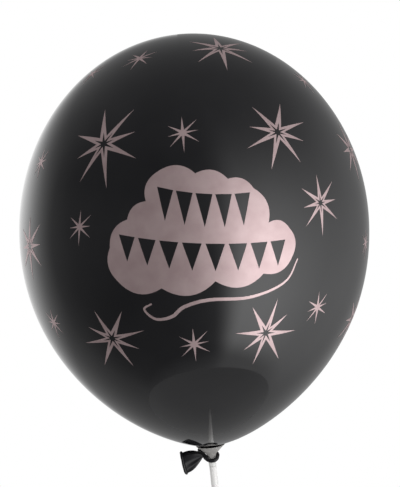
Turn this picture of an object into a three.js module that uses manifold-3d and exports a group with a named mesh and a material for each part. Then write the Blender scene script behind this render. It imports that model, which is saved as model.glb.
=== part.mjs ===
// A printed latex balloon, held by its neck in a plastic cup on a hollow balloon stick.
// Millimetres, +Z up along the stick. The origin is the centre of the stick's lower end.

import * as THREE from 'three';
import { TessellateModifier } from 'three/addons/modifiers/TessellateModifier.js';
import { mergeVertices } from 'three/addons/utils/BufferGeometryUtils.js';
import Module from 'manifold-3d';

const wasm = await Module();
wasm.setup();

// ---------------------------------------------------------------- driving dimensions

const gap = 0.3; // between pieces that touch on the real object

// stick
const stickLength = 320;
const stickOuterR = 2.9;
const stickInnerR = 2.3;

// cup: a slotted funnel under the balloon, on a stem with a collar and a plug in the tube
const plugR = stickInnerR - gap;
const plugDepth = 14;
const collarR = 3.1;
const collarHeight = 3.4;
const stemR = 2.2;
const cupWall = 0.8;
const cupCourse = [
  // radius and height of a point on the funnel's outside, from the collar's top
  [2.6, 3.2],
  [3.4, 5.2],
  [4.3, 6.9],
  [5.6, 8.2],
  [8.8, 11.2],
  [12.2, 14.2],
];
const slotWidth = 3.6;
const slotBottom = 6.8;
const slotTurn = THREE.MathUtils.degToRad(159); // from +X

// balloon body: half an ellipse above the widest level, a fuller curve below it
const bodyR = 140;
const bodyAbove = 157.5;
const bodyBelow = 175.6;
const bodyX = 5.5; // centre of the widest level, from the stick's axis
const bodyRise = 189.2; // and above the collar
const bodyLean = THREE.MathUtils.degToRad(5);
const underPower = 2.1; // shape of the curve below the widest level
const underFullness = 0.66;
const pullToNeck = 11.5; // how far the underside is drawn sideways to the neck
const pullReach = 48; // and how far out that is still felt
const seatPull = 1.6; // the last of that pull, close to the cup
const seatReach = 20; // where the cup levels the leaning underside
const skinWall = 0.3;

// the neck bends about one point on the stick's axis, in the cup's mouth
const bendRise = 12; // above the collar
const neckTo = 9.6; // its wide rim's distance from that point
const neckHighR = 9.1;
const neckLowR = 3.1;
const neckDrop = 1.4; // its narrow end, below that point
const neckWall = 0.6;

// the end of the neck leaves the cup by its slot and is wound once round the stem
const wrapR = 1.4;
const wrapCourse = [
  // a point in the middle of the strand, from the collar's top
  [-0.8, 0.3, 7.3],
  [-3.6, 1.35, 9.05],
  [-6.5, 2.5, 9.9],
  [-9.2, 3.7, 10.2],
  [-9.2, 6.2, 8.6],
  [-5.6, 7.5, 7.1],
  [-0.6, 6.8, 6.1],
  [3.6, 5.2, 5.7],
  [5.4, 2.0, 4.7],
  [4.8, -1.6, 3.2],
  [2.6, -3.6, 2.0],
  [-0.4, -4.2, 1.6],
  [-3.2, -3.5, 2.3],
  [-5.4, -2.2, 3.9],
];

// tail: a flattened tube beyond the wrap, which flares to the rolled lip
const tailRoot = new THREE.Vector3(-7.8, -0.9, 6); // from the collar's top
const tailRootR = 2;
const tailLength = 14.6;
const tailDroop = 4.4;
const tailWall = 0.8;
const mouthHalfHeight = 8.6;
const mouthHalfDepth = 4.2;
const lipRollR = 1.0;
const lipTilt = THREE.MathUtils.degToRad(9);

// printed ink
const inkLift = 0.35; // between the skin and the ink
const inkWall = 0.3;
const inkFacet = 16; // longest edge of the print's facets

const collarBottom = stickLength + gap;
const collarTop = collarBottom + collarHeight;
const bendPoint = new THREE.Vector3(0, 0, collarTop + bendRise);

// ---------------------------------------------------------------- materials

const material = (color, roughness, metalness = 0) =>
  new THREE.MeshStandardMaterial({ color, roughness, metalness });
const tubePlastic = material(0xe9e8e4, 0.35);
const cupPlastic = material(0xcfd6cf, 0.4);
const latex = material(0x0b0b0d, 0.16);
const ink = material(0xb08a88, 0.38, 0.75);

// ---------------------------------------------------------------- solids

// A geometry as a manifold solid: shared vertices merged, collapsed triangles left out.
function toSolid(geometry) {
  const bare = geometry.clone();
  bare.deleteAttribute('normal');
  bare.deleteAttribute('uv');
  const merged = mergeVertices(bare, 1e-4);
  const index = merged.index.array;
  const triangles = [];
  for (let i = 0; i < index.length; i += 3) {
    const [a, b, c] = index.slice(i, i + 3);
    if (a !== b && b !== c && c !== a) triangles.push(a, b, c);
  }
  return new wasm.Manifold(
    new wasm.Mesh({
      numProp: 3,
      vertProperties: new Float32Array(merged.attributes.position.array),
      triVerts: new Uint32Array(triangles),
    }),
  );
}

function fromSolid(solid) {
  const { vertProperties, triVerts, numProp } = solid.getMesh();
  const positions = [];
  for (let i = 0; i < vertProperties.length; i += numProp) {
    positions.push(vertProperties[i], vertProperties[i + 1], vertProperties[i + 2]);
  }
  const geometry = new THREE.BufferGeometry();
  geometry.setAttribute('position', new THREE.Float32BufferAttribute(positions, 3));
  geometry.setIndex(Array.from(triVerts));
  return geometry;
}

function piece(name, geometry, finish) {
  const mesh = new THREE.Mesh(geometry, finish);
  mesh.name = name;
  return mesh;
}

// A profile of [radius, height] points, turned round the Z axis.
function turned(profile, segments) {
  const points = profile.map(([r, z]) => new THREE.Vector2(r, z));
  return new THREE.LatheGeometry(points, segments).rotateX(Math.PI / 2);
}

// A closed surface through rings of points. Each ring has the same number of points, and the
// first and last rings are closed by a fan round their middle.
function loft(rings) {
  const count = rings[0].length;
  const positions = rings.flat().flatMap((p) => [p.x, p.y, p.z]);
  const middle = (ring) => ring.reduce((s, p) => s.add(p), new THREE.Vector3()).divideScalar(count);
  const first = rings.length * count;
  positions.push(...middle(rings[0]).toArray(), ...middle(rings.at(-1)).toArray());
  const index = [];
  for (let k = 0; k < count; k++) {
    const next = (k + 1) % count;
    index.push(first, next, k);
    for (let i = 0; i < rings.length - 1; i++) {
      const [a, b] = [i * count + k, i * count + next];
      index.push(a, b, b + count, a, b + count, a + count);
    }
    const last = (rings.length - 1) * count;
    index.push(first + 1, last + k, last + next);
  }
  const geometry = new THREE.BufferGeometry();
  geometry.setAttribute('position', new THREE.Float32BufferAttribute(positions, 3));
  geometry.setIndex(index);
  return geometry;
}

// ---------------------------------------------------------------- stick

function stickTube() {
  const bevel = 0.1;
  const profile = [
    [stickInnerR, 0],
    [stickOuterR - bevel, 0],
    [stickOuterR, bevel],
    [stickOuterR, stickLength - bevel],
    [stickOuterR - bevel, stickLength],
    [stickInnerR, stickLength],
    [stickInnerR, 0],
  ];
  return piece('stick_tube', turned(profile, 28), tubePlastic);
}

// ---------------------------------------------------------------- cup

function balloonCup() {
  const lead = 1.5; // the plug's tapered end
  const round = 0.4;
  const at = (height) => collarTop + height;
  const outside = cupCourse.map(([r, height]) => [r, at(height)]);
  const inside = cupCourse.slice(1).map(([r, height]) => [r - cupWall, at(height + cupWall / 2)]);
  inside.at(-1)[1] = at(cupCourse.at(-1)[1]);
  const profile = [
    [0, stickLength - plugDepth],
    [plugR - 0.6, stickLength - plugDepth],
    [plugR, stickLength - plugDepth + lead],
    [plugR, collarBottom],
    [collarR - round, collarBottom],
    [collarR, collarBottom + round],
    [collarR, collarTop - round],
    [collarR - round, collarTop],
    [stemR, collarTop],
    ...outside,
    ...inside.reverse(),
    [0, inside.at(-1)[1]],
  ];
  const slot = new THREE.BoxGeometry(2 * neckHighR, slotWidth, 20)
    .translate(neckHighR + 1, 0, 10)
    .rotateZ(slotTurn)
    .translate(0, 0, at(slotBottom));
  const cup = toSolid(turned(profile, 24)).subtract(toSolid(slot));
  return piece('balloon_cup', fromSolid(cup), cupPlastic);
}

// ---------------------------------------------------------------- neck

// A trumpet of latex in the cup's mouth. Its wide rim lies on a sphere about the bend point, so
// that it can turn there inside the body's opening.
function neck() {
  const rimHeight = (r) => Math.sqrt(neckTo ** 2 - r ** 2);
  const low = new THREE.Vector2(neckLowR, -neckDrop);
  const high = new THREE.Vector2(neckHighR, rimHeight(neckHighR));
  const waist = new THREE.Vector2(neckLowR + 0.5, low.y + 0.75 * (high.y - low.y));
  const outer = new THREE.QuadraticBezierCurve(low, waist, high).getPoints(5);
  const inner = outer.map((p) => new THREE.Vector2(p.x - neckWall, p.y)).reverse();
  inner[0].y = rimHeight(inner[0].x);
  const profile = [...outer, ...inner, outer[0]].map((p) => [p.x, p.y]);
  const mesh = piece('neck', turned(profile, 24), latex);
  mesh.position.copy(bendPoint);
  return mesh;
}

// The rest of the neck, from inside the cup out of its slot and round the stem to the tail.
function neckWrap() {
  const course = new THREE.CatmullRomCurve3(wrapCourse.map(([x, y, z]) => new THREE.Vector3(x, y, z)));
  const section = new THREE.Shape().absarc(0, 0, wrapR, 0, 2 * Math.PI);
  const geometry = new THREE.ExtrudeGeometry(section, { extrudePath: course, steps: 30, curveSegments: 5 });
  const mesh = piece('neck_wrap', geometry, latex);
  mesh.position.z = collarTop;
  return mesh;
}

// ---------------------------------------------------------------- tail

// The tail runs along -X from its root. Its rings are ellipses, taller than deep.
function tailRing(along, halfHeight, halfDepth) {
  const count = 24;
  const drop = -tailDroop * (along / tailLength);
  const lean = Math.sin(lipTilt) * (along / tailLength);
  return Array.from({ length: count }, (_, k) => {
    const turn = (2 * Math.PI * k) / count;
    const up = halfHeight * Math.cos(turn);
    return new THREE.Vector3(-along - lean * up, halfDepth * Math.sin(turn), drop + up);
  });
}

function tail() {
  const flare = (along, from, to) => {
    const t = along / tailLength;
    return from + (to - from) * Math.sin((t * Math.PI) / 2) ** 0.8;
  };
  const outside = (along) =>
    tailRing(
      along,
      flare(along, tailRootR, mouthHalfHeight),
      flare(along, tailRootR, mouthHalfDepth),
    );
  const inside = (along) =>
    tailRing(
      along,
      flare(along, tailRootR, mouthHalfHeight) - tailWall,
      flare(along, tailRootR, mouthHalfDepth) - tailWall,
    );
  const root = [-0.94, -0.7, -0.35].map((t) => {
    const r = tailRootR * Math.sqrt(1 - t * t);
    return tailRing(t * tailRootR, r, r);
  });
  const steps = [0, 1.5, 3, 5, 7.5, 11, tailLength];
  const rings = [...root, ...steps.map(outside), ...steps.slice(2).reverse().map(inside)];
  const mesh = piece('tail', loft(rings), latex);
  mesh.position.copy(tailRoot).setZ(collarTop + tailRoot.z);
  return mesh;
}

// The rolled rim of the mouth: a bead that follows the mouth's ellipse.
function lipBead() {
  const around = 28;
  const sides = 8;
  const positions = [];
  const index = [];
  for (let i = 0; i < around; i++) {
    const turn = (2 * Math.PI * i) / around;
    const out = new THREE.Vector2(
      Math.sin(turn) / mouthHalfDepth,
      Math.cos(turn) / mouthHalfHeight,
    ).normalize();
    for (let j = 0; j < sides; j++) {
      const roll = (2 * Math.PI * j) / sides;
      const reach = lipRollR * Math.cos(roll);
      const depth = mouthHalfDepth * Math.sin(turn) + reach * out.x;
      const height = mouthHalfHeight * Math.cos(turn) + reach * out.y;
      positions.push(lipRollR * Math.sin(roll), depth, height);
      const [a, b] = [i * sides + j, i * sides + ((j + 1) % sides)];
      const [c, d] = [((i + 1) % around) * sides, (j + 1) % sides];
      index.push(a, c + d, c + j, a, b, c + d);
    }
  }
  const geometry = new THREE.BufferGeometry();
  geometry.setAttribute('position', new THREE.Float32BufferAttribute(positions, 3));
  geometry.setIndex(index);
  const mesh = piece('lip_bead', geometry, latex);
  mesh.position.set(
    tailRoot.x - tailLength - lipRollR - gap,
    tailRoot.y,
    collarTop + tailRoot.z - tailDroop,
  );
  mesh.rotation.y = -lipTilt;
  return mesh;
}

// ---------------------------------------------------------------- balloon body

// Radius and height of the body's outline, from its widest level, at a turn from 0 at the top
// through 90 degrees at the widest level to 180 at the bottom.
function bodyOutline(turn) {
  if (turn <= Math.PI / 2) return new THREE.Vector2(bodyR * Math.sin(turn), bodyAbove * Math.cos(turn));
  const r = bodyR * Math.sin(turn) ** (2 * underFullness);
  return new THREE.Vector2(r, -bodyBelow * (-Math.cos(turn)) ** (2 / underPower));
}

// The outline moved outwards by lift, as [radius, height].
function liftedOutline(turn, lift) {
  const point = bodyOutline(turn);
  if (turn === 0 || turn === Math.PI) return [0, point.y + Math.sign(point.y) * lift];
  const along = bodyOutline(turn + 1e-3).sub(bodyOutline(turn - 1e-3)).normalize();
  return [point.x - along.y * lift, point.y + along.x * lift];
}

// Moves a point of the turned body to where the cup holds it: the underside is drawn sideways
// to the neck, and levelled where it meets the cup.
function seated({ x, y, z }) {
  if (z >= 0) return new THREE.Vector3(x, y, z);
  const r = Math.hypot(x, y);
  const close = Math.exp(-((r / seatReach) ** 2));
  const pull = pullToNeck * (Math.exp(-r / pullReach) - Math.exp(-bodyR / pullReach)) + seatPull * close;
  return new THREE.Vector3(x + Math.max(pull, 0), y, z + x * Math.tan(bodyLean) * close);
}

// The body's closed surface, moved outwards by lift.
function bodySurface(lift) {
  const rings = 17;
  const segments = 34;
  const profile = Array.from({ length: rings + 1 }, (_, i) =>
    liftedOutline(Math.PI * (1 - i / rings), lift),
  );
  const geometry = turned(profile, segments);
  const position = geometry.attributes.position;
  for (let i = 0; i < position.count; i++) {
    const point = new THREE.Vector3().fromBufferAttribute(position, i);
    position.setXYZ(i, ...seated(point).toArray());
  }
  return toSolid(geometry);
}

// The point at lift above the body's surface that lies in a direction from its middle.
function onBody(direction, lift) {
  const steepness = Math.atan2(Math.hypot(direction.x, direction.y), direction.z);
  let [low, high] = [0, Math.PI];
  for (let i = 0; i < 40; i++) {
    const middle = (low + high) / 2;
    const point = bodyOutline(middle);
    if (Math.atan2(point.x, point.y) < steepness) low = middle;
    else high = middle;
  }
  const [r, z] = liftedOutline(low, lift);
  const around = Math.atan2(direction.y, direction.x);
  return seated(new THREE.Vector3(r * Math.cos(around), r * Math.sin(around), z));
}

const balloon = new THREE.Group();
balloon.position.set(bodyX, 0, collarTop + bodyRise);
balloon.rotation.y = bodyLean;
balloon.updateMatrixWorld();

function envelope() {
  const bend = balloon.worldToLocal(bendPoint.clone());
  const opening = new THREE.SphereGeometry(neckTo + gap + 0.1, 28, 16).translate(...bend.toArray());
  const skin = bodySurface(0).subtract(bodySurface(-skinWall)).subtract(toSolid(opening));
  return piece('envelope', fromSolid(skin), latex);
}

// ---------------------------------------------------------------- print

// A flat shape printed on the body where the direction (around, up) from its middle meets it.
// Around is counted from the front, towards +X. Roll turns the shape clockwise.
function printed(name, shape, around, up, roll = 0) {
  const [a, e, turn] = [around, up, roll].map(THREE.MathUtils.degToRad);
  const out = new THREE.Vector3(Math.sin(a) * Math.cos(e), -Math.cos(a) * Math.cos(e), Math.sin(e));
  const east = new THREE.Vector3(Math.cos(a), Math.sin(a), 0);
  const north = new THREE.Vector3().crossVectors(out, east);
  const toBody = new THREE.Matrix4().makeBasis(east, north, out);
  const flat = new THREE.ExtrudeGeometry(shape, { depth: inkWall, bevelEnabled: false }).rotateZ(-turn);
  const geometry = new TessellateModifier(inkFacet, 8).modify(flat);
  const position = geometry.attributes.position;
  for (let i = 0; i < position.count; i++) {
    const direction = new THREE.Vector3(position.getX(i), position.getY(i), bodyR).applyMatrix4(toBody);
    position.setXYZ(i, ...onBody(direction, inkLift + position.getZ(i)).toArray());
  }
  return piece(name, geometry, ink);
}

// The eight spikes of a burst: degrees from +X, and length as a share of the burst's size.
const spikes = [
  [8, 0.76],
  [44, 1],
  [90, 0.9],
  [147, 0.86],
  [190, 0.74],
  [226, 1],
  [270, 1.05],
  [325, 0.92],
];

// The outline of a burst, with a notch halfway between every two spikes.
function burstPoints(size, notch) {
  const at = (degrees, r) => {
    const turn = THREE.MathUtils.degToRad(degrees);
    return new THREE.Vector2(r * Math.cos(turn), r * Math.sin(turn));
  };
  return spikes.flatMap(([turn, length], k) => {
    const next = k + 1 < spikes.length ? spikes[k + 1][0] : spikes[0][0] + 360;
    return [at(turn, size * length), at((turn + next) / 2, notch)];
  });
}

function largeStar(size) {
  const shape = new THREE.Shape(burstPoints(size, 0.19 * size));
  shape.holes.push(new THREE.Path(burstPoints(0.32 * size, 0.07 * size)));
  return shape;
}

const smallStar = (size) => new THREE.Shape(burstPoints(size, 0.17 * size));

// [around, up, size, roll] of each star on one half of the body. The other half repeats them.
const largeStars = [
  [-27, 24, 31, -12],
  [27, 26.5, 28, 21],
  [16, 59, 27, 4],
  [38.6, 6.5, 22, -2],
  [-27, -30.5, 26, 32],
  [22, -29.5, 25, -33],
  [-58.6, -4, 25, 5],
  [65, 24, 25, 0],
  [70, -29, 25, 10],
];
const smallStars = [
  [-2.5, 26, 13.5, -4],
  [-25, 55, 13, 8],
  [-33, 1, 12.5, 6],
  [-0.5, -32, 13, -3],
  [40, -23, 12.5, -7],
  [-56, 21, 12.5, 0],
  [66.5, -5, 12.5, 0],
  [-53, -27, 12.5, 10],
  [-53, 52, 12.5, 0],
  [58, 48, 12.5, 0],
];

// A party plaque: a scalloped cloud with two strings of pennants cut out of it.
const plaqueCorners = [
  [-62, -30],
  [-67, -6],
  [-52, 14],
  [-38, 26],
  [-30, 47],
  [-4, 44],
  [18, 40],
  [36, 34],
  [46, 10],
  [64, 6],
  [67, -14],
  [42, -25],
  [8, -28],
  [-28, -33],
];
const scallopBulge = 0.2; // of the distance between two corners
const pennantStrings = [
  { from: [-31, 36], to: [34, 31], sag: 4, count: 5, share: 0.86, drop: 22 },
  { from: [-60, 4], to: [61, -2], sag: 4, count: 8, share: 0.84, drop: 18 },
];

function scalloped(corners) {
  const middle = corners.reduce(([x, y], [u, v]) => [x + u, y + v], [0, 0]).map((s) => s / corners.length);
  const points = [];
  corners.forEach(([x0, y0], i) => {
    const [x1, y1] = corners[(i + 1) % corners.length];
    const length = Math.hypot(x1 - x0, y1 - y0);
    let out = new THREE.Vector2(y1 - y0, x0 - x1).divideScalar(length);
    if (out.dot(new THREE.Vector2((x0 + x1) / 2 - middle[0], (y0 + y1) / 2 - middle[1])) < 0) out.negate();
    for (const t of [0, 0.25, 0.5, 0.75]) {
      const bulge = scallopBulge * length * 4 * t * (1 - t);
      points.push(new THREE.Vector2(x0 + t * (x1 - x0), y0 + t * (y1 - y0)).addScaledVector(out, bulge));
    }
  });
  return points;
}

// Holes for a string of pennants, whose tops follow the string as it sags.
function pennants({ from, to, sag, count, share, drop }) {
  const along = (t) =>
    new THREE.Vector2(
      from[0] + t * (to[0] - from[0]),
      from[1] + t * (to[1] - from[1]) - sag * 4 * t * (1 - t),
    );
  return Array.from({ length: count }, (_, k) => {
    const [left, middle, right] = [0.5 - share / 2, 0.5, 0.5 + share / 2].map((s) => along((k + s) / count));
    return new THREE.Path([middle.setY(middle.y - drop), right, left]);
  });
}

function plaque() {
  const shape = new THREE.Shape(scalloped(plaqueCorners));
  shape.holes.push(...pennantStrings.flatMap(pennants));
  return shape;
}

// A streamer: a wavy line that thickens towards its middle and curls at its left end.
const streamerWidth = 2.6;
const streamerCourse = [
  [72, -17],
  [61, -33],
  [34, -41],
  [4, -41],
  [-13, -46],
  [-22, -54],
  [-34, -57],
  [-42, -50],
  [-36, -45],
];

function streamer() {
  const curve = new THREE.SplineCurve(streamerCourse.map(([x, y]) => new THREE.Vector2(x, y)));
  const steps = 26;
  const sides = { left: [], right: [] };
  for (let i = 0; i <= steps; i++) {
    const t = i / steps;
    const tangent = curve.getTangent(t);
    const out = new THREE.Vector2(-tangent.y, tangent.x);
    const half = (streamerWidth / 2) * (0.45 + 0.55 * Math.sin(Math.PI * t));
    sides.left.push(curve.getPoint(t).addScaledVector(out, half));
    sides.right.push(curve.getPoint(t).addScaledVector(out, -half));
  }
  return new THREE.Shape([...sides.left, ...sides.right.reverse()]);
}

function printOn(side, from) {
  const stars = (kind, list, shape) =>
    list.map(([around, up, size, roll], i) =>
      printed(`${side}_${kind}_star_${i + 1}`, shape(size), from + around, up, roll),
    );
  return [
    printed(`${side}_plaque`, plaque(), from + 2.5, -3),
    printed(`${side}_streamer`, streamer(), from + 2.5, -3),
    ...stars('large', largeStars, largeStar),
    ...stars('small', smallStars, smallStar),
  ];
}

// ---------------------------------------------------------------- assembly

balloon.add(envelope(), ...printOn('front', 0), ...printOn('back', 180));

const part = new THREE.Group();
part.add(stickTube(), balloonCup(), neck(), neckWrap(), tail(), lipBead(), balloon);

export default part;
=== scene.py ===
"""A printed latex balloon, held by its neck in a plastic cup on a hollow balloon stick.

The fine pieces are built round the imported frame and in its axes: +Z up along the stick, and the
printed front towards -Y. Shapes are worked out in millimetres and made into meshes in metres.
"""

import math

import bmesh
import bpy
import numpy as np
from mathutils import Matrix, Vector


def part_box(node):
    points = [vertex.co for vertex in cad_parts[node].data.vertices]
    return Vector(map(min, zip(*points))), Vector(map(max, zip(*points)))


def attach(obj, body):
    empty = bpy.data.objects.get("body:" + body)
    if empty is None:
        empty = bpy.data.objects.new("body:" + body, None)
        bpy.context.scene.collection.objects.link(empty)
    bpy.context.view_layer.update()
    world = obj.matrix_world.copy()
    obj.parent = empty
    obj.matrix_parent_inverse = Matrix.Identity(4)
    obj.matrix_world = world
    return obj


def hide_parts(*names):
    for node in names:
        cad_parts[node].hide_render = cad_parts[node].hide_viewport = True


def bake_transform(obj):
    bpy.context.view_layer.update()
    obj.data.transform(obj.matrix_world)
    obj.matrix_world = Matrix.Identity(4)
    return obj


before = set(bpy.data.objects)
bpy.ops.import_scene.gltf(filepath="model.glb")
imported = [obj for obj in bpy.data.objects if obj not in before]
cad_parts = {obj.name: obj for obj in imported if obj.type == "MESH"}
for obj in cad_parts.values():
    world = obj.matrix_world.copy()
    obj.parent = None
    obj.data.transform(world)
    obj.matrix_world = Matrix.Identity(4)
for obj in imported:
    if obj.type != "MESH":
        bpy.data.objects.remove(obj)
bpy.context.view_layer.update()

MM = 0.001

# ---------------------------------------------------------------- sizes, in millimetres

STICK_OUTER_R = 2.9
STICK_INNER_R = 2.3
COLLAR_R = 3.1
COLLAR_HEIGHT = 3.4
GAP = 0.3
STICK_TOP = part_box("stick_tube")[1].z / MM
COLLAR_BOTTOM = STICK_TOP + GAP
COLLAR_TOP = COLLAR_BOTTOM + COLLAR_HEIGHT

# balloon body: half an ellipse above its widest level, a more pointed curve below it
BODY_R = 140.0
BODY_ABOVE = 157.5  # height above the widest level
BODY_BELOW = 175.6  # and below it
BODY_X = 5.5  # of the widest level's middle, from the stick's axis
BODY_RISE = 189.2  # of the widest level, above the collar
BODY_LEAN = math.radians(5)
UNDER_POWER = 2.1  # of the lower curve's height: 2 is an ellipse
UNDER_TAPER = 0.66  # of its radius: 0.5 is an ellipse, and more is more pointed
PULL_TO_NECK = 11.5  # how far the underside is drawn sideways to the cup
PULL_REACH = 48.0
SEAT_PULL = 1.6  # the last of that, close to the cup
SEAT_REACH = 20.0

BODY_TO_ROW = (
    Matrix.Translation((BODY_X, 0, COLLAR_TOP + BODY_RISE)) @ Matrix.Rotation(BODY_LEAN, 4, "Y")
)

# ---------------------------------------------------------------- meshes

SHARP_ANGLE = math.radians(40)
AXIS_R = 0.01  # of a closed profile's ends, which lie on the axis


def full_turn(count):
    """So many angles round a circle."""
    return np.linspace(0, 2 * np.pi, count, endpoint=False)


def in_scene(name, data):
    thing = bpy.data.objects.new(name, data)
    bpy.context.scene.collection.objects.link(thing)
    return thing


def made(name, body, material, mesh, slot, *nodes):
    """A smooth piece that rides on a body and stands for CAD nodes."""
    piece = in_scene(name, mesh)
    mesh.materials.append(material)
    mesh.shade_smooth()
    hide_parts(*nodes)
    if body:
        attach(piece, body)
    return piece


def sheet_mesh(name, rings, close_start=False, close_end=False):
    """A mesh through rings of points. Each ring is a closed loop with the same number of points."""
    rings = np.asarray(rings, float)
    count, around = rings.shape[:2]
    points = [Vector(p) * MM for p in rings.reshape(-1, 3)]
    faces = []
    for i in range(count - 1):
        for k in range(around):
            a, b = i * around + k, i * around + (k + 1) % around
            faces.append((a, b, b + around, a + around))
    for ring, turn, closed in ((0, -1, close_start), (count - 1, 1, close_end)):
        if not closed:
            continue
        middle = len(points)
        points.append(Vector(rings[ring].mean(axis=0)) * MM)
        for k in range(around):
            a, b = ring * around + k, ring * around + (k + 1) % around
            faces.append((a, b, middle)[::turn])
    mesh = bpy.data.meshes.new(name)
    mesh.from_pydata(points, [], faces)
    fixed = bmesh.new()
    fixed.from_mesh(mesh)
    bmesh.ops.recalc_face_normals(fixed, faces=fixed.faces)
    fixed.to_mesh(mesh)
    fixed.free()
    return mesh


def turned(name, profile, around=96):
    """A profile of (radius, height) points turned round the stick's axis. It ends where it starts."""
    turns = full_turn(around)
    rings = [[(r * math.cos(t), r * math.sin(t), z) for t in turns] for r, z in profile]
    return sheet_mesh(name, rings)


def through(points, steps):
    """A smooth curve through points, with so many steps between each two."""
    points = np.asarray(points, float)
    before = 2 * points[0] - points[1]
    after = 2 * points[-1] - points[-2]
    padded = np.vstack([before, points, after])
    curve = []
    for p0, p1, p2, p3 in zip(padded, padded[1:], padded[2:], padded[3:]):
        for t in np.arange(steps) / steps:
            curve.append(
                0.5 * (2 * p1 + (p2 - p0) * t + (2 * p0 - 5 * p1 + 4 * p2 - p3) * t**2)
                + 0.5 * (3 * p1 - p0 - 3 * p2 + p3) * t**3
            )
    curve.append(points[-1])
    return np.array(curve)


# ---------------------------------------------------------------- materials


class Shader:
    """A Principled material and its nodes."""

    def __init__(self, name, **values):
        self.material = bpy.data.materials.new(name)
        self.material.use_nodes = True
        self.tree = self.material.node_tree
        self.surface = self.tree.nodes["Principled BSDF"]
        for key, value in values.items():
            self.surface.inputs[key.replace("_", " ")].default_value = value
        self.place = self.tree.nodes.new("ShaderNodeTexCoord").outputs["Object"]

    def stretched(self, scale):
        mapping = self.tree.nodes.new("ShaderNodeMapping")
        mapping.inputs["Scale"].default_value = scale
        self.tree.links.new(self.place, mapping.inputs["Vector"])
        return mapping.outputs["Vector"]

    def noise(self, scale, detail=3.0, where=None):
        texture = self.tree.nodes.new("ShaderNodeTexNoise")
        texture.inputs["Scale"].default_value = scale
        texture.inputs["Detail"].default_value = detail
        self.tree.links.new(where or self.place, texture.inputs["Vector"])
        return texture.outputs["Fac"]

    def ramp(self, value, *stops):
        """A colour ramp of (position, colour) stops. One number is a grey."""
        node = self.tree.nodes.new("ShaderNodeValToRGB")
        elements = node.color_ramp.elements
        while len(elements) < len(stops):
            elements.new(0.5)
        for element, (position, colour) in zip(elements, stops):
            element.position = position
            element.color = (*colour, 1) if isinstance(colour, tuple) else (colour,) * 3 + (1,)
        self.tree.links.new(value, node.inputs["Fac"])
        return node.outputs["Color"]

    def share_of_height(self, low, high):
        """0 up to the height low, 1 from the height high, both in metres."""
        split = self.tree.nodes.new("ShaderNodeSeparateXYZ")
        self.tree.links.new(self.place, split.inputs["Vector"])
        node = self.tree.nodes.new("ShaderNodeMapRange")
        node.inputs["From Min"].default_value = low
        node.inputs["From Max"].default_value = high
        self.tree.links.new(split.outputs["Z"], node.inputs["Value"])
        return node.outputs["Result"]

    def mixed(self, share, first, second):
        """A plain colour where share is 0, and another, from a node, where it is 1."""
        node = self.tree.nodes.new("ShaderNodeMix")
        node.data_type = "RGBA"
        self.tree.links.new(share, node.inputs["Factor"])
        node.inputs[6].default_value = (*first, 1)
        self.tree.links.new(second, node.inputs[7])
        return node.outputs[2]

    def drive(self, name, value):
        self.tree.links.new(value, self.surface.inputs[name])

    def bump(self, height, distance, strength=1.0):
        """Adds a bump on top of those already there. Distance is in millimetres."""
        node = self.tree.nodes.new("ShaderNodeBump")
        node.inputs["Distance"].default_value = distance * MM
        node.inputs["Strength"].default_value = strength
        self.tree.links.new(height, node.inputs["Height"])
        normal = self.surface.inputs["Normal"]
        if normal.is_linked:
            self.tree.links.new(normal.links[0].from_socket, node.inputs["Normal"])
        self.tree.links.new(node.outputs["Normal"], normal)


def stretched_latex():
    """The blown-up skin: black and glossy, with a faint unevenness where the dip coat was thicker."""
    shader = Shader("stretched_latex", IOR=1.5)
    shade = shader.ramp(shader.noise(22), (0.3, (0.003, 0.003, 0.004)), (0.7, (0.006, 0.006, 0.007)))
    shader.drive("Base Color", shade)
    shader.drive("Roughness", shader.ramp(shader.noise(60), (0.3, 0.035), (0.75, 0.075)))
    shader.bump(shader.noise(14, 2), 0.25, 0.4)
    shader.bump(shader.noise(900, 2), 0.004, 0.5)
    return shader.material


def slack_latex():
    """Unstretched latex at the neck: still black, but duller and finely creased."""
    shader = Shader("slack_latex", IOR=1.35)
    cloud = shader.noise(260)
    shade = shader.ramp(cloud, (0.3, (0.006, 0.006, 0.007)), (0.7, (0.013, 0.013, 0.015)))
    shader.drive("Base Color", shade)
    shader.drive("Roughness", shader.ramp(cloud, (0.3, 0.09), (0.75, 0.18)))
    shader.bump(shader.noise(420, 4), 0.04, 0.5)
    shader.bump(shader.noise(2500, 2), 0.02, 0.4)
    return shader.material


def rose_ink():
    """Metallic ink: fine flakes in a pink film, thinner in small clouds where the skin stretched."""
    shader = Shader("rose_ink", Metallic=0.8)
    flakes = shader.noise(2600, 2)
    clouds = shader.noise(90)
    shade = shader.ramp(clouds, (0.3, (0.45, 0.335, 0.34)), (0.72, (0.53, 0.41, 0.415)))
    shader.drive("Base Color", shade)
    shader.drive("Roughness", shader.ramp(flakes, (0.3, 0.36), (0.7, 0.52)))
    shader.bump(flakes, 0.02, 0.5)
    return shader.material


def cup_plastic():
    """Milky moulded plastic: white where it is thick, with a painted grey shade on the funnel above the
    collar where the dark neck shows through.
    """
    shader = Shader("cup_plastic", IOR=1.49, Transmission_Weight=0.12)
    haze = shader.noise(300)
    # painted shade: above the collar the funnel is coloured grey for the dark neck behind it, not for a
    # grey plastic
    grey = shader.ramp(haze, (0.3, (0.30, 0.292, 0.28)), (0.7, (0.36, 0.35, 0.338)))
    painted_shade_share = shader.share_of_height((COLLAR_TOP + 0.5) * MM, (COLLAR_TOP + 5) * MM)
    shader.drive("Base Color", shader.mixed(painted_shade_share, (0.86, 0.86, 0.84), grey))
    shader.drive("Roughness", shader.ramp(haze, (0.3, 0.42), (0.7, 0.52)))
    shader.bump(shader.noise(1400, 2), 0.01, 0.5)
    return shader.material


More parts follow.
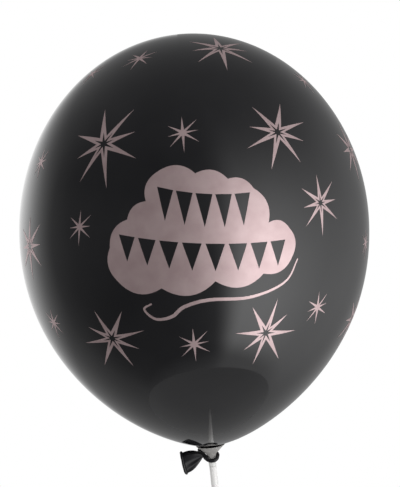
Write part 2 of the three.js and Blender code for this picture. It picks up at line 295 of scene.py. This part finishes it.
def tube_plastic():
    """Extruded white tube: slightly clear, with faint streaks along its length."""
    shader = Shader("tube_plastic", IOR=1.49, Transmission_Weight=0.08)
    streaks = shader.noise(1, 3, shader.stretched((900, 900, 14)))
    shade = shader.ramp(streaks, (0.3, (0.86, 0.845, 0.83)), (0.7, (0.92, 0.91, 0.90)))
    shader.drive("Base Color", shade)
    shader.drive("Roughness", shader.ramp(streaks, (0.3, 0.26), (0.7, 0.40)))
    shader.bump(streaks, 0.03, 0.5)
    return shader.material


# ---------------------------------------------------------------- the balloon's surface


def outline(turn):
    """The body's radius and height from its widest level, at turns from 0 at the top to pi."""
    turn = np.asarray(turn, float)
    down = np.clip(-np.cos(turn), 0, None)
    side = np.clip(np.sin(turn), 0, None)
    upper = turn <= np.pi / 2
    r = np.where(upper, BODY_R * side, BODY_R * side ** (2 * UNDER_TAPER))
    z = np.where(upper, BODY_ABOVE * np.cos(turn), -BODY_BELOW * down ** (2 / UNDER_POWER))
    return r, z


def lifted(turn, lift):
    """The outline moved outwards by lift."""
    r, z = outline(turn)
    (r0, z0), (r1, z1) = outline(turn - 1e-3), outline(turn + 1e-3)
    length = np.hypot(r1 - r0, z1 - z0)
    return r - (z1 - z0) / length * lift, z + (r1 - r0) / length * lift


def seated(x, y, z):
    """Points of the turned body where the cup holds it, moved from the body's axes to the row's."""
    r = np.hypot(x, y)
    under = z < 0
    close = np.exp(-((r / SEAT_REACH) ** 2)) * under
    far = math.exp(-BODY_R / PULL_REACH)
    pull = PULL_TO_NECK * (np.exp(-r / PULL_REACH) - far) * under + SEAT_PULL * close
    points = np.stack([x + np.maximum(pull, 0), y, z + x * math.tan(BODY_LEAN) * close], axis=-1)
    turn = np.array(BODY_TO_ROW.to_3x3())
    return points @ turn.T + np.array(BODY_TO_ROW.translation)


TURNS = np.linspace(1e-4, np.pi - 1e-4, 6001)
STEEPNESS = np.arctan2(*outline(TURNS))


def on_body(directions, lift):
    """Points at lift above the skin, in the row's axes, in these directions from the body's middle."""
    x, y, z = np.asarray(directions, float).T
    steepness = np.arctan2(np.hypot(x, y), z)
    r, height = lifted(np.interp(steepness, STEEPNESS, TURNS), lift)
    around = np.arctan2(y, x)
    return seated(r * np.cos(around), r * np.sin(around), height)


# ---------------------------------------------------------------- balloon skin and neck

SKIN_AROUND = 288
SKIN_RINGS = 190
SKIN_CROWDING = 0.09  # how much closer together the rings are towards the neck
SKIN_EDGE_R = 5.0  # where the skin goes over into the neck
PLEATS = 17  # gathers of the skin round the neck
PLEAT_DEPTH = 0.2
PLEAT_REACH = 7.0
SLEEVE_FOOT = 8.9  # above the collar, inside the funnel
SLEEVE_FOOT_R = 2.4
SLEEVE_BEND_R = 3.0  # where the curve from the skin down to the foot bends
SLEEVE_BEND = (0.6, 0, 13.2)
SLEEVE_FOLD = 0.12
SLEEVE_TWIST = 2.5


def skin_turns():
    """Turns of the skin's rings, closer together towards the neck."""
    below = TURNS[TURNS > np.pi / 2]
    edge = np.interp(-SKIN_EDGE_R, -outline(below)[0], below)
    share = np.linspace(0, 1, SKIN_RINGS)
    eased = share + SKIN_CROWDING * np.sin(np.pi * share) ** 2 * share
    return eased / eased[-1] * edge


def skin_rings():
    around = full_turn(SKIN_AROUND)
    rings = []
    for turn in np.maximum(skin_turns(), 1e-3):
        r, z = (float(v) for v in lifted(turn, 0))
        fade = PLEAT_DEPTH * math.exp(-((r - SKIN_EDGE_R) / PLEAT_REACH)) * (z < 0)
        ring = seated(r * np.cos(around), r * np.sin(around), np.full_like(around, z))
        ring[:, 2] += fade * np.cos(PLEATS * around)
        rings.append(ring)
    return np.array(rings)


def balloon_skin(latex):
    mesh = sheet_mesh("skin", skin_rings(), close_start=True)
    made("skin", "balloon", latex, mesh, "latex", "envelope")


def neck_sleeve(latex):
    """The skin's gathered end, from the balloon's opening down into the cup."""
    rim = skin_rings()[-1]
    around = full_turn(SKIN_AROUND)
    out = np.stack([np.cos(around), np.sin(around), np.zeros_like(around)], axis=-1)
    from_collar = np.array([0, 0, COLLAR_TOP])
    bend = out * SLEEVE_BEND_R + from_collar + SLEEVE_BEND
    foot = out * SLEEVE_FOOT_R + from_collar + (0, 0, SLEEVE_FOOT)
    rings = []
    for t in np.linspace(0, 1, 16):
        ring = (1 - t) ** 2 * rim + 2 * t * (1 - t) * bend + t**2 * foot
        fold = SLEEVE_FOLD * math.sin(math.pi * t) * np.cos(PLEATS * around + SLEEVE_TWIST * t)
        rings.append(ring + out * fold[:, None])
    mesh = sheet_mesh("neck_sleeve", rings, close_end=True)
    sleeve = made("neck_sleeve", None, latex, mesh, "latex", "neck")
    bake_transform(sleeve)


# ---------------------------------------------------------------- wound strand

STRAND_R = 1.4
STRAND_COURSE = [  # from the collar's top
    (-0.8, 0.3, 7.3),
    (-3.6, 1.35, 9.05),
    (-6.5, 2.5, 9.9),
    (-9.4, 3.7, 10.3),
    (-9.4, 6.2, 8.6),
    (-5.6, 7.5, 7.1),
    (-0.6, 6.8, 6.1),
    (3.6, 5.2, 5.7),
    (4.9, 2.0, 4.9),
    (4.4, -1.6, 3.3),
    (2.5, -3.5, 2.1),
    (-0.3, -3.9, 1.7),
    (-3.0, -3.3, 2.4),
    (-4.6, -2.4, 4.2),
    (-6.2, -1.6, 6.1),
    (-8.2, -0.9, 7.4),
]
STRAND_TWIST = 9.0
STRAND_RIDGES = ((3, 0.14, 1), (7, 0.07, 2))  # count round it, depth, and how much of the twist
STRAND_WAVE, STRAND_WAVES = 0.06, 23  # of its thickness, along it
STRAND_FLATNESS = 0.94
ROOT_SWELL = (0.3, 0.88, 0.05)  # size, place and reach of the lump at the tail's root
EAR_SWELL = (0.6, 0.22, 0.09)  # and of the ear where it leaves the cup's slot


def hump(share, size, place, reach):
    """A smooth lump along something, highest where share is place."""
    return size * math.exp(-(((share - place) / reach) ** 2))


def wound_strand(latex):
    """The neck's slack end: a twisted rope of folds, from the cup's slot round the stem."""
    curve = through(STRAND_COURSE, 9) + np.array([0, 0, COLLAR_TOP])
    around = full_turn(40)
    up = Vector((0, 0, 1))
    rings = []
    for i, point in enumerate(curve):
        share = i / (len(curve) - 1)
        ahead = Vector(curve[min(i + 1, len(curve) - 1)] - curve[max(i - 1, 0)]).normalized()
        side = ahead.cross(up).normalized()
        over = side.cross(ahead)
        end = min(1.0, 5.5 * share, 18 * (1 - share)) ** 0.5
        twist = STRAND_TWIST * share
        folds = 1 + sum(deep * np.cos(n * around + k * twist) for n, deep, k in STRAND_RIDGES)
        swell = hump(share, *ROOT_SWELL) + STRAND_WAVE * math.sin(STRAND_WAVES * share)
        r = STRAND_R * folds * max(end, 0.05) * (1 + swell)
        tall = STRAND_FLATNESS + hump(share, *EAR_SWELL)
        rings.append(
            point
            + np.outer(r * np.cos(around), np.array(side))
            + np.outer(tall * r * np.sin(around), np.array(over))
        )
    mesh = sheet_mesh("wound_strand", rings, close_start=True, close_end=True)
    made("wound_strand", "cup", latex, mesh, "latex", "neck_wrap")


# ---------------------------------------------------------------- tail

TAIL_ROOT = np.array([-7.8, -0.9, COLLAR_TOP + 6.0])
TAIL_ROOT_R = 2.0
TAIL_LENGTH = 14.6
TAIL_DROOP = 4.4
TAIL_WALL = 0.55
TAIL_EASING = 0.8  # below 1, the flare and the creases start early
MOUTH_HALF_HEIGHT = 8.6
MOUTH_HALF_DEPTH = 4.2
TAIL_CREASES = ((4, 0.07, 0.6, 0), (7, 0.05, 2.0, 1), (11, 0.03, 0, 0))  # count, depth, turn, twist
TAIL_DENT = (0.9, 4.6, 0.35)  # depth, and its place and reach round the tail
LIP_ROLL_R = 1.15
LIP_TILT = math.radians(9)
LIP_WAVE = 0.22
LIP_LUMPS = ((3, 0.06, 1), (8, 0.04, 0))  # count round it, height as a share, and turn


def tail_ring(share, inset, around):
    """A closed loop of the tail at a share of its length, moved inwards by inset. Below 0 is its root."""
    along = share * TAIL_LENGTH
    flare = math.sin(max(share, 0) * math.pi / 2) ** TAIL_EASING
    height = TAIL_ROOT_R + (MOUTH_HALF_HEIGHT - TAIL_ROOT_R) * flare
    depth = TAIL_ROOT_R + (MOUTH_HALF_DEPTH - TAIL_ROOT_R) * flare
    if share < 0:
        height = depth = math.sqrt(max(TAIL_ROOT_R**2 - along**2, 0.01))
    crease = math.sin(math.pi * min(max(share, 0), 1)) ** TAIL_EASING
    ridges = (d * np.cos(n * around + turn + twist * share) for n, d, turn, twist in TAIL_CREASES)
    fold = 1 - crease * sum(ridges)
    dent_depth, dent_place, dent_reach = TAIL_DENT
    dent = dent_depth * crease * np.exp(-(((around - dent_place) / dent_reach) ** 2))
    up = (height - inset) * fold * np.cos(around)
    deep = (depth - inset) * fold * np.sin(around) + dent
    lean = math.sin(LIP_TILT) * share
    return TAIL_ROOT + np.stack([-along - lean * up, deep, up - TAIL_DROOP * share], axis=-1)


def tail_flare(latex):
    """The tail: a flattened tube of slack latex with creases that run into its root."""
    around = full_turn(120)
    before = -np.sin(np.linspace(1.5, 0.2, 8)) * TAIL_ROOT_R / TAIL_LENGTH
    knob = [tail_ring(s, 0, around) for s in before]
    outside = [tail_ring(s, 0, around) for s in np.linspace(0, 1, 40)]
    inside = [tail_ring(s, TAIL_WALL, around) for s in np.linspace(1, 0.12, 34)]
    mesh = sheet_mesh("tail_flare", [*knob, *outside, *inside], close_start=True, close_end=True)
    made("tail_flare", "tail", latex, mesh, "latex", "tail")


def rolled_lip(latex):
    """The bead round the tail's mouth: latex rolled up on itself, a little uneven in its thickness."""
    around = full_turn(160)
    middle = TAIL_ROOT + np.array([-TAIL_LENGTH - LIP_ROLL_R * 0.9, 0, -TAIL_DROOP])
    tilt = np.array(Matrix.Rotation(-LIP_TILT, 3, "Y"))
    out = np.stack([np.sin(around) / MOUTH_HALF_DEPTH, np.cos(around) / MOUTH_HALF_HEIGHT], axis=-1)
    out /= np.linalg.norm(out, axis=1)[:, None]
    thick = LIP_ROLL_R * (1 + sum(high * np.cos(n * around + turn) for n, high, turn in LIP_LUMPS))
    wave = LIP_WAVE * np.cos(2 * around + 0.7)
    rings = []
    for roll in full_turn(28):
        spiral = 1 - 0.1 * math.exp(-((roll - 2.6) ** 2) / 0.02)  # the groove where the roll closes
        reach = thick * spiral * math.cos(roll)
        points = np.stack(
            [
                thick * spiral * math.sin(roll) + wave,
                MOUTH_HALF_DEPTH * np.sin(around) + reach * out[:, 0],
                MOUTH_HALF_HEIGHT * np.cos(around) + reach * out[:, 1],
            ],
            axis=-1,
        )
        rings.append(points @ tilt.T + middle)
    mesh = sheet_mesh("rolled_lip", [*rings, rings[0]])
    made("rolled_lip", "tail", latex, mesh, "latex", "lip_bead")


# ---------------------------------------------------------------- cup and stick

TUBE_BEVEL = 0.12
PLUG_R = STICK_INNER_R - GAP
PLUG_DEPTH = 14.0
STEM_R = 2.2
CUP_WALL = 0.8
RIM_WALL = 0.45
CUP_COURSE = [  # radius and height of a point on the funnel's outside, from the collar's top
    (2.6, 3.2),
    (3.4, 5.2),
    (4.3, 6.9),
    (5.6, 8.2),
    (8.8, 11.2),
    (11.8, 13.75),
]
FUNNEL_FLOOR = 5.6  # of the funnel's inside, above the collar
EDGE_ROUND = 0.45
SLOT_WIDTH = 3.6
SLOT_BOTTOM = 6.8
SLOT_TURN = math.radians(159)
SLOT_CUTTER = 20.0  # the cutter's length and height
SLOT_FROM_AXIS = 1.0


def rounded(profile, corner, reach, steps=4):
    """The profile with one corner replaced by a short curve."""
    profile = [Vector(p) for p in profile]
    at, before, after = profile[corner], profile[corner - 1], profile[corner + 1]
    start = at + (before - at).normalized() * reach
    end = at + (after - at).normalized() * reach
    curve = [(1 - t) ** 2 * start + 2 * t * (1 - t) * at + t**2 * end for t in np.linspace(0, 1, steps)]
    return profile[:corner] + curve + profile[corner + 1 :]


def slot_cutter():
    """A block that stands in the funnel's wall where the strand leaves the cup."""
    middle = (SLOT_FROM_AXIS + SLOT_CUTTER / 2, 0, COLLAR_TOP + SLOT_BOTTOM + SLOT_CUTTER / 2)
    place = Matrix.Rotation(SLOT_TURN, 4, "Z") @ Matrix.Translation(Vector(middle) * MM)
    size = Matrix.Diagonal((*(Vector((SLOT_CUTTER, SLOT_WIDTH, SLOT_CUTTER)) * MM), 1))
    block = bmesh.new()
    bmesh.ops.create_cube(block, matrix=place @ size)
    mesh = bpy.data.meshes.new("slot")
    block.to_mesh(mesh)
    block.free()
    return in_scene("slot", mesh)


def balloon_cup(plastic):
    """One moulding: a slotted funnel on a stem, with a collar and a plug in the tube."""
    shaft = [
        (AXIS_R, STICK_TOP - PLUG_DEPTH),
        (PLUG_R - 0.6, STICK_TOP - PLUG_DEPTH),
        (PLUG_R, STICK_TOP - PLUG_DEPTH + 1.5),
        (PLUG_R, COLLAR_BOTTOM),
        (COLLAR_R, COLLAR_BOTTOM),
        (COLLAR_R, COLLAR_TOP),
        (STEM_R, COLLAR_TOP),
        (STEM_R, COLLAR_TOP + 1),
    ]
    for corner in (6, 5, 4):
        shaft = rounded(shaft, corner, EDGE_ROUND)
    course = through(CUP_COURSE, 7) + np.array([0, COLLAR_TOP])
    slope = np.gradient(course, axis=0)
    slope /= np.linalg.norm(slope, axis=1)[:, None]
    wall = np.linspace(CUP_WALL, RIM_WALL, len(course))
    inner = course + np.stack([-slope[:, 1], slope[:, 0]], axis=-1) * wall[:, None]
    inner = inner[inner[:, 1] > COLLAR_TOP + FUNNEL_FLOOR]
    rim_middle = (course[-1] + inner[-1]) / 2
    toward = course[-1] - rim_middle
    along = slope[-1] * np.linalg.norm(toward)
    rim = [rim_middle + toward * math.cos(a) + along * math.sin(a) for a in np.linspace(0.3, 2.8, 7)]
    funnel = [*course, *rim, *inner[::-1], (AXIS_R, COLLAR_TOP + FUNNEL_FLOOR)]
    mesh = turned("cup", [*shaft, *funnel])
    cup = made("cup", None, plastic, mesh, "cup_plastic", "balloon_cup")
    cutter = slot_cutter()
    cut = cup.modifiers.new("slot", "BOOLEAN")
    cut.object = cutter
    cut.operation = "DIFFERENCE"
    cut.solver = "EXACT"
    graph = bpy.context.evaluated_depsgraph_get()
    cup.data = bpy.data.meshes.new_from_object(cup.evaluated_get(graph))
    cup.modifiers.clear()
    bpy.data.objects.remove(cutter)
    cup.data.shade_smooth()
    cup.data.set_sharp_from_angle(angle=SHARP_ANGLE)
    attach(cup, "cup")


def stick(plastic):
    """The hollow tube, square-cut at both ends with the edges just broken."""
    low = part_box("stick_tube")[0].z / MM
    profile = [
        (STICK_INNER_R, low + TUBE_BEVEL),
        (STICK_INNER_R + TUBE_BEVEL, low),
        (STICK_OUTER_R - TUBE_BEVEL, low),
        (STICK_OUTER_R, low + TUBE_BEVEL),
        (STICK_OUTER_R, STICK_TOP - TUBE_BEVEL),
        (STICK_OUTER_R - TUBE_BEVEL, STICK_TOP),
        (STICK_INNER_R + TUBE_BEVEL, STICK_TOP),
        (STICK_INNER_R, STICK_TOP - TUBE_BEVEL),
        (STICK_INNER_R, low + TUBE_BEVEL),
    ]
    mesh = turned("tube", profile)
    made("tube", "stick", plastic, mesh, "stick_plastic", "stick_tube")
    mesh.set_sharp_from_angle(angle=SHARP_ANGLE)


# ---------------------------------------------------------------- print

INK_LIFT = 0.09
INK_GRID = 3.0  # the print is cut on a grid this wide, so that it follows the skin


def skin_normals(directions):
    """The skin's outward directions where these directions from the body's middle meet it."""
    out = on_body(directions, 1) - on_body(directions, 0)
    return out / np.linalg.norm(out, axis=1)[:, None]


def filled(loops):
    """A flat mesh inside closed loops of (x, y) points. A loop inside another is a hole."""
    curve = bpy.data.curves.new("loops", "CURVE")
    curve.dimensions = "2D"
    curve.fill_mode = "BOTH"
    for loop in loops:
        spline = curve.splines.new("POLY")
        spline.points.add(len(loop) - 1)
        for point, (x, y) in zip(spline.points, loop):
            point.co = (x, y, 0, 1)
        spline.use_cyclic_u = True
    holder = in_scene("loops", curve)
    graph = bpy.context.evaluated_depsgraph_get()
    mesh = bpy.data.meshes.new_from_object(holder.evaluated_get(graph))
    bpy.data.objects.remove(holder)
    return mesh


def printed(name, loops, around, up, roll, ink):
    """A flat shape printed where the direction (around, up) from the body's middle meets the skin."""
    a, e, turn = (math.radians(v) for v in (around, up, roll))
    out = Vector((math.sin(a) * math.cos(e), -math.cos(a) * math.cos(e), math.sin(e)))
    east = Vector((math.cos(a), math.sin(a), 0))
    basis = np.array([east, out.cross(east), out])
    flat = bmesh.new()
    flat.from_mesh(filled(loops))
    bmesh.ops.remove_doubles(flat, verts=flat.verts, dist=1e-4)
    reach = max(max(abs(v.co.x), abs(v.co.y)) for v in flat.verts)
    for axis in (Vector((1, 0, 0)), Vector((0, 1, 0))):
        for line in np.arange(-reach, reach, INK_GRID):
            everything = [*flat.verts, *flat.edges, *flat.faces]
            bmesh.ops.bisect_plane(flat, geom=everything, plane_co=axis * float(line), plane_no=axis)
    co = np.array([v.co for v in flat.verts])
    x = co[:, 0] * math.cos(turn) + co[:, 1] * math.sin(turn)
    y = co[:, 1] * math.cos(turn) - co[:, 0] * math.sin(turn)
    directions = np.stack([x, y, np.full_like(x, BODY_R)], axis=-1) @ basis
    points = on_body(directions, INK_LIFT)
    for vert, point in zip(flat.verts, points):
        vert.co = Vector(point) * MM
    flat.normal_update()
    turned_in = [face for face in flat.faces if face.normal.dot(out) < 0]
    bmesh.ops.reverse_faces(flat, faces=turned_in)
    mesh = bpy.data.meshes.new(name)
    flat.to_mesh(mesh)
    flat.free()
    piece = made(f"ink_{name}", "balloon", ink, mesh, "ink", name)
    piece.data.normals_split_custom_set_from_vertices(skin_normals(directions))


SPIKES = [  # degrees from +X, and length as a share of the burst's size
    (8, 0.76),
    (44, 1),
    (90, 0.9),
    (147, 0.86),
    (190, 0.74),
    (226, 1),
    (270, 1.05),
    (325, 0.92),
]
LARGE_NOTCH, OPENING, OPENING_NOTCH = 0.19, 0.32, 0.07  # shares of the large star's size
SMALL_NOTCH = 0.17


def burst(size, notch):
    """The outline of an eight-pointed burst, with a notch halfway between every two spikes."""
    points = []
    for (turn, length), (ahead, _) in zip(SPIKES, [*SPIKES[1:], (SPIKES[0][0] + 360, 0)]):
        for degrees, r in ((turn, size * length), ((turn + ahead) / 2, notch)):
            points.append((r * math.cos(math.radians(degrees)), r * math.sin(math.radians(degrees))))
    return points


def large_star(size):
    """A burst with a small burst left open in its middle."""
    return [burst(size, LARGE_NOTCH * size), burst(OPENING * size, OPENING_NOTCH * size)]


def small_star(size):
    return [burst(size, SMALL_NOTCH * size)]


# (around, up, size, roll) of each star on one half of the body. The other half repeats them.
LARGE_STARS = [
    (-27, 24, 31, -12),
    (27, 26.5, 28, 21),
    (16, 59, 27, 4),
    (38.6, 6.5, 22, -2),
    (-27, -30.5, 26, 32),
    (22, -29.5, 25, -33),
    (-58.6, -4, 25, 5),
    (65, 24, 25, 0),
    (70, -29, 25, 10),
]
SMALL_STARS = [
    (-2.5, 26, 13.5, -4),
    (-25, 55, 13, 8),
    (-33, 1, 12.5, 6),
    (-0.5, -32, 13, -3),
    (40, -23, 12.5, -7),
    (-56, 21, 12.5, 0),
    (66.5, -5, 12.5, 0),
    (-53, -27, 12.5, 10),
    (-53, 52, 12.5, 0),
    (58, 48, 12.5, 0),
]
PLAQUE_CORNERS = [
    (-62, -30),
    (-67, -6),
    (-52, 14),
    (-38, 26),
    (-30, 47),
    (-4, 44),
    (18, 40),
    (36, 34),
    (46, 10),
    (64, 6),
    (67, -14),
    (42, -25),
    (8, -28),
    (-28, -33),
]
SCALLOP_BULGE = 0.2
EMBLEM_PLACE = (2.5, -3, 0)  # around, up and roll of the plaque and the streamer
PENNANT_STRINGS = [  # start, end, sag, count, share of the string that is pennants, drop
    ((-31, 36), (34, 31), 4, 5, 0.86, 22),
    ((-60, 4), (61, -2), 4, 8, 0.84, 18),
]
STREAMER_WIDTH = 2.6
STREAMER_COURSE = [
    (72, -17),
    (61, -33),
    (34, -41),
    (4, -41),
    (-13, -46),
    (-22, -54),
    (-34, -57),
    (-42, -50),
    (-36, -45),
]


def scalloped(corners):
    """A closed outline that bulges outwards between its corners."""
    corners = np.array(corners, float)
    points = []
    for start, end in zip(corners, np.roll(corners, -1, axis=0)):
        length = np.linalg.norm(end - start)
        out = np.array([end[1] - start[1], start[0] - end[0]]) / length
        if out @ ((start + end) / 2 - corners.mean(axis=0)) < 0:
            out = -out
        for t in np.arange(10) / 10:
            points.append(start + t * (end - start) + out * SCALLOP_BULGE * length * 4 * t * (1 - t))
    return points


def pennants(start, end, sag, count, share, drop):
    """A string of triangles whose tops follow the string as it sags."""

    def along(t):
        x = start[0] + t * (end[0] - start[0])
        y = start[1] + t * (end[1] - start[1]) - sag * 4 * t * (1 - t)
        return x, y

    loops = []
    for k in range(count):
        left, middle, right = (along((k + 0.5 + side * share / 2) / count) for side in (-1, 0, 1))
        loops.append([(middle[0], middle[1] - drop), right, left])
    return loops


def plaque():
    loops = [scalloped(PLAQUE_CORNERS)]
    for string in PENNANT_STRINGS:
        loops += pennants(*string)
    return loops


def streamer():
    """A wavy line that thickens towards its middle and curls at its left end."""
    curve = through(STREAMER_COURSE, 10)
    tangents = np.gradient(curve, axis=0)
    tangents /= np.linalg.norm(tangents, axis=1)[:, None]
    out = np.stack([-tangents[:, 1], tangents[:, 0]], axis=-1)
    half = STREAMER_WIDTH / 2 * (0.45 + 0.55 * np.sin(np.linspace(0, np.pi, len(curve))))
    return [[*(curve + out * half[:, None]), *(curve - out * half[:, None])[::-1]]]


def print_on(side, turn, ink):
    """One half's print: side is its name, and turn how far round the body it is, in degrees."""
    around, up, roll = EMBLEM_PLACE
    printed(f"{side}_plaque", plaque(), turn + around, up, roll, ink)
    printed(f"{side}_streamer", streamer(), turn + around, up, roll, ink)
    for kind, stars, shape in (("large", LARGE_STARS, large_star), ("small", SMALL_STARS, small_star)):
        for i, (around, up, size, roll) in enumerate(stars):
            printed(f"{side}_{kind}_star_{i + 1}", shape(size), turn + around, up, roll, ink)


# ---------------------------------------------------------------- studio

CAMERA_BACK = 650.0  # from the stick's axis
CAMERA_RISE = 178.6  # above the collar
CAMERA_X = 8.9
CAMERA_ROLL = math.radians(6.1)
CAMERA_LENS = 58.7
CAMERA_SENSOR = 36
FLOOR_R = 240.0
FLOOR_BELOW = 2.0


def camera():
    data = bpy.data.cameras.new("camera")
    data.lens = CAMERA_LENS
    data.sensor_width = CAMERA_SENSOR
    shot = in_scene("camera", data)
    shot.location = Vector((CAMERA_X, -CAMERA_BACK, COLLAR_TOP + CAMERA_RISE)) * MM
    shot.rotation_euler = (math.pi / 2, CAMERA_ROLL, 0)
    bpy.context.scene.camera = shot


class Sky:
    """A world whose light depends on its direction. Azimuth is counted from -Y towards +X."""

    def __init__(self):
        world = bpy.data.worlds.new("studio")
        bpy.context.scene.world = world
        world.use_nodes = True
        self.tree = world.node_tree
        self.background = self.tree.nodes["Background"]
        place = self.tree.nodes.new("ShaderNodeTexCoord").outputs["Generated"]
        split = self.tree.nodes.new("ShaderNodeSeparateXYZ")
        self.tree.links.new(place, split.inputs["Vector"])
        toward = self.math("MULTIPLY", split.outputs["Y"], -1)
        turn = self.math("ARCTAN2", split.outputs["X"], toward)
        self.azimuth = self.math("MULTIPLY_ADD", turn, 0.5 / math.pi, 0.5)
        rise = self.math("ARCSINE", split.outputs["Z"])
        self.elevation = self.math("MULTIPLY_ADD", rise, 1 / math.pi, 0.5)

    def math(self, operation, *values):
        node = self.tree.nodes.new("ShaderNodeMath")
        node.operation = operation
        for socket, value in zip(node.inputs, values):
            if isinstance(value, (int, float)):
                socket.default_value = value
            else:
                self.tree.links.new(value, socket)
        return node.outputs[0]

    def ramp(self, value, stops, whole):
        """Brightness at angles in degrees, of a whole range of angles centred on 0."""
        node = self.tree.nodes.new("ShaderNodeValToRGB")
        node.color_ramp.interpolation = "B_SPLINE"
        elements = node.color_ramp.elements
        while len(elements) < len(stops):
            elements.new(0.5)
        for element, (angle, grey) in zip(elements, stops):
            element.position = angle / whole + 0.5
            element.color = (grey, grey, grey, 1)
        self.tree.links.new(value, node.inputs["Fac"])
        return node.outputs["Color"]

    def patch(self, strength, azimuths, elevations):
        """A soft patch of light, as bright as strength where both ramps are 1."""
        across = self.ramp(self.azimuth, azimuths, 360)
        upright = self.ramp(self.elevation, elevations, 180)
        return self.math("MULTIPLY", self.math("MULTIPLY", across, upright), strength)

    def show(self, light):
        """Lights the scene, behind which the camera sees plain white."""
        seen = self.tree.nodes.new("ShaderNodeLightPath").outputs["Is Camera Ray"]
        mixed = self.math("ADD", self.math("MULTIPLY", light, self.math("SUBTRACT", 1, seen)), seen)
        self.tree.links.new(mixed, self.background.inputs["Color"])


def studio_sky():
    """A dim room with a wide soft box to the right of the camera and a smaller one to its left."""
    sky = Sky()
    ceiling = sky.patch(0.28, [(-180, 1), (180, 1)], [(22, 0), (58, 1)])
    room = sky.patch(
        1.0,
        [
            (-180, 0.32),
            (-108, 0.28),
            (-84, 0.12),
            (-40, 0.1),
            (2, 0.11),
            (24, 0.4),
            (120, 0.46),
            (180, 0.32),
        ],
        [(-62, 1), (22, 0.95), (58, 0)],
    )
    ground = sky.patch(0.42, [(-180, 1), (180, 1)], [(-74, 1), (-62, 0)])
    right = sky.patch(
        2.7,
        [(10, 0), (18, 0.2), (26, 0.8), (34, 1.1), (52, 1), (72, 0.7), (92, 0.42), (118, 0.14), (138, 0)],
        [(-66, 0), (-55, 0.82), (-30, 1), (-12, 0.84), (4, 0.62), (20, 0.3), (36, 0.1), (54, 0)],
    )
    left = sky.patch(
        1.4,
        [(-172, 0.5), (-155, 0.75), (-135, 1), (-118, 0.5), (-100, 0)],
        [(-28, 0), (-14, 0.5), (4, 0.95), (14, 1), (25, 0.3), (38, 0)],
    )
    light = sky.math("ADD", ceiling, sky.math("ADD", room, ground))
    sky.show(sky.math("ADD", light, sky.math("ADD", right, left)))


def soft_light(name, place, aim, size, power):
    """A soft box that lights the object but doesn't mirror in its gloss. Metres and watts."""
    data = bpy.data.lights.new(name, "AREA")
    data.size = size
    data.energy = power
    light = in_scene(name, data)
    light.location = place
    light.rotation_euler = (Vector(aim) - Vector(place)).to_track_quat("-Z", "Y").to_euler()
    light.visible_glossy = False


def floor():
    """A round pale floor just below the stick's end."""
    mesh = bmesh.new()
    edge = [(FLOOR_R * math.cos(t), FLOOR_R * math.sin(t), -FLOOR_BELOW) for t in full_turn(160)]
    mesh.faces.new([mesh.verts.new(Vector(point) * MM) for point in edge])
    data = bpy.data.meshes.new("floor")
    mesh.to_mesh(data)
    mesh.free()
    shader = Shader("floor", Roughness=0.6)
    shader.drive("Base Color", shader.ramp(shader.noise(6), (0.3, 0.60), (0.7, 0.64)))
    data.materials.append(shader.material)
    in_scene("floor", data)


# ---------------------------------------------------------------- assembly

tight, slack, rose = stretched_latex(), slack_latex(), rose_ink()
balloon_skin(tight)
neck_sleeve(slack)
wound_strand(slack)
tail_flare(slack)
rolled_lip(slack)
balloon_cup(cup_plastic())
stick(tube_plastic())
print_on("front", 0, rose)
print_on("back", 180, rose)

camera()
studio_sky()
floor()
soft_light("overhead", place=(0.2, -0.3, 1.7), aim=(0, 0, 0.3), size=1.2, power=12)
soft_light("fill", place=(-1.1, -0.8, 0.5), aim=(0, 0, 0.35), size=0.9, power=7)
bpy.context.scene.view_settings.view_transform = "Standard"

bpy.context.view_layer.update()
